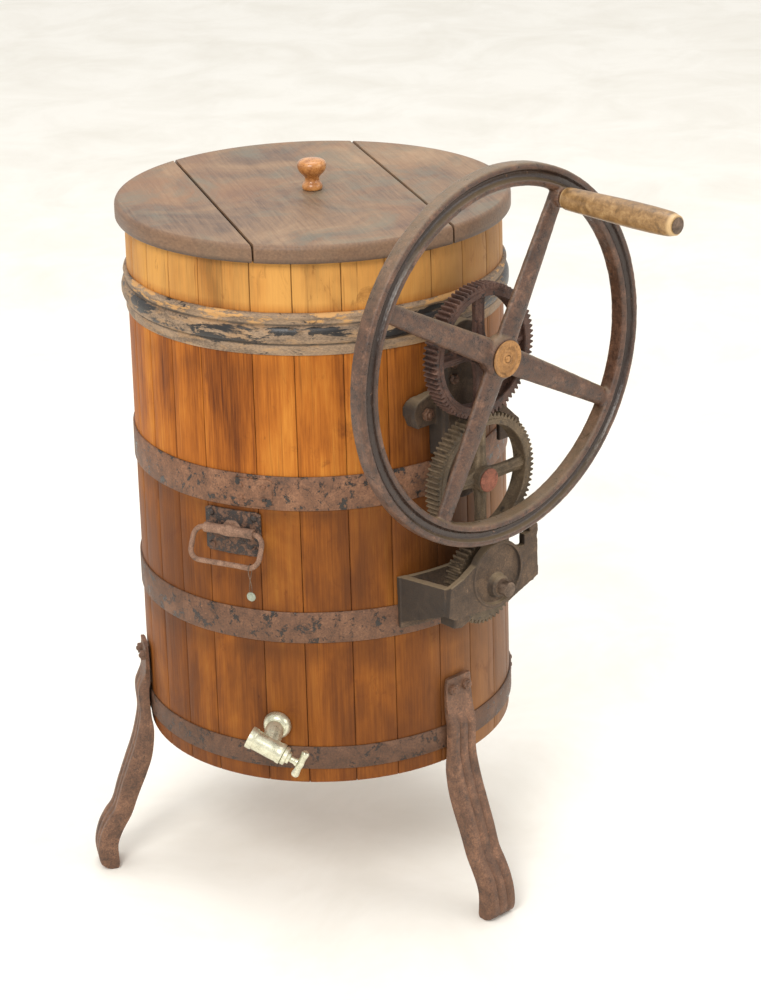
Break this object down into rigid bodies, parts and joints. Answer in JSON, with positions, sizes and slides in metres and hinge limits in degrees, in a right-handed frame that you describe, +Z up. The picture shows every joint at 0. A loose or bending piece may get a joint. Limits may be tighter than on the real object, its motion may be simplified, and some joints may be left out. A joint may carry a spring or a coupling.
{
  "type": "hand-cranked barrel washing machine",
  "caption": "Coopered wooden tub on three cast legs, turned by a side handwheel through a train of spur gears; lift-off lid, drop handles and drain tap.",
  "frame": {"origin": "centre of the footprint of the whole machine, on the floor", "axes": "+Z up; the handwheel, gears and crank grip face -Y; +X to the right when facing the handwheel"},
  "size_m": [0.6222, 0.8034, 1.0502],
  "materials": {
    "oak": "worn varnish",
    "lid_wood": "weathered",
    "turned_wood": "turned, handled smooth",
    "hoop_iron": "rust with worn black paint",
    "gear_iron": "oily cast iron",
    "wheel_iron": "worn black paint over iron",
    "bracket_iron": "dusty grey cast iron",
    "leg_iron": "rusty cast iron",
    "handle_iron": "rusty forged iron",
    "steel": "tarnished",
    "brass": "dull brass",
    "nickel_brass": "worn nickel plate",
    "lead": "dull lead"
  },
  "bodies": {
    "tub": {"staves": "oak", "tub_bottom": "oak", "hoop_1": "hoop_iron", "hoop_2": "hoop_iron", "hoop_3": "hoop_iron", "hoop_4": "hoop_iron", "hoop_rivets": "hoop_iron", "wheel_axle": "steel", "axle_washer": "brass", "axle_screw": "brass", "idler_axle": "steel", "thrust_washers": "steel", "upper_bracket": "bracket_iron", "lower_bracket": "bracket_iron", "upper_bracket_nuts": "steel", "lower_bracket_bolts": "steel", "leg_bolts": "steel", "shaft_gland": "brass", "rear_bearing": "bracket_iron", "leg_1": "leg_iron", "leg_2": "leg_iron", "leg_3": "leg_iron", "handle_plate_left": "handle_iron", "handle_plate_right": "handle_iron", "handle_screws_left": "steel", "handle_screws_right": "steel", "tap_body": "nickel_brass", "tap_gland": "nickel_brass"},
    "wheel": {"handwheel": "wheel_iron", "top_gear": "gear_iron", "crank_pin": "steel"},
    "grip": {"crank_grip": "turned_wood"},
    "idler": {"middle_gear": "gear_iron"},
    "agitator": {"bottom_gear": "gear_iron", "agitator_shaft": "steel", "agitator_hubs": "bracket_iron", "agitator_paddles": "oak"},
    "lid": {"lid_board_left": "lid_wood", "lid_board_centre": "lid_wood", "lid_board_right": "lid_wood", "lid_batten_front": "lid_wood", "lid_batten_back": "lid_wood", "lid_screws": "steel", "lid_knob": "turned_wood"},
    "bail_left": {"bail_left": "handle_iron"},
    "bail_right": {"bail_right": "handle_iron"},
    "seal": {"seal_wire": "steel", "lead_seal": "lead"},
    "tap_key": {"tap_key": "nickel_brass"}
  },
  "joints": [
    {"name": "wheel_spin", "type": "hinge", "parent": "tub", "child": "wheel", "pos_m": [0, -0.16325, 0.8058], "axis": [0, -1, 0], "continuous": true},
    {"name": "grip_spin", "type": "hinge", "parent": "wheel", "child": "grip", "pos_m": [0.10068, -0.30075, 0.99123], "axis": [0, -1, 0], "continuous": true},
    {"name": "idler_spin", "type": "hinge", "parent": "tub", "child": "idler", "pos_m": [0, -0.16325, 0.6348], "axis": [0, -1, 0], "continuous": true},
    {"name": "agitator_spin", "type": "hinge", "parent": "tub", "child": "agitator", "pos_m": [0, 0.14175, 0.49305], "axis": [0, -1, 0], "continuous": true},
    {"name": "lid_lift", "type": "slide", "parent": "tub", "child": "lid", "axis": [0, 0, 1], "range_m": [0, 0.35]},
    {"name": "bail_left_swing", "type": "hinge", "parent": "tub", "child": "bail_left", "pos_m": [-0.2449, 0.04725, 0.574], "axis": [-0.36, 0.933, 0], "range_deg": [-12, 125]},
    {"name": "bail_right_swing", "type": "hinge", "parent": "tub", "child": "bail_right", "pos_m": [0.2449, 0.23625, 0.574], "axis": [0.36, -0.933, 0], "range_deg": [-26, 125]},
    {"name": "seal_swing", "type": "hinge", "parent": "bail_left", "child": "seal", "pos_m": [-0.24907, 0.00384, 0.53569], "axis": [-0.36, 0.933, 0], "range_deg": [-15, 60]},
    {"name": "tap_turn", "type": "hinge", "parent": "tub", "child": "tap_key", "pos_m": [-0.2485, -0.01778, 0.287], "axis": [0.4856, -0.7563, -0.4384], "range_deg": [0, 90]}
  ],
  "couplings": [
    {"joint": "idler_spin", "follows": "wheel_spin", "ratio": -1},
    {"joint": "agitator_spin", "follows": "wheel_spin", "ratio": 1.52}
  ]
}
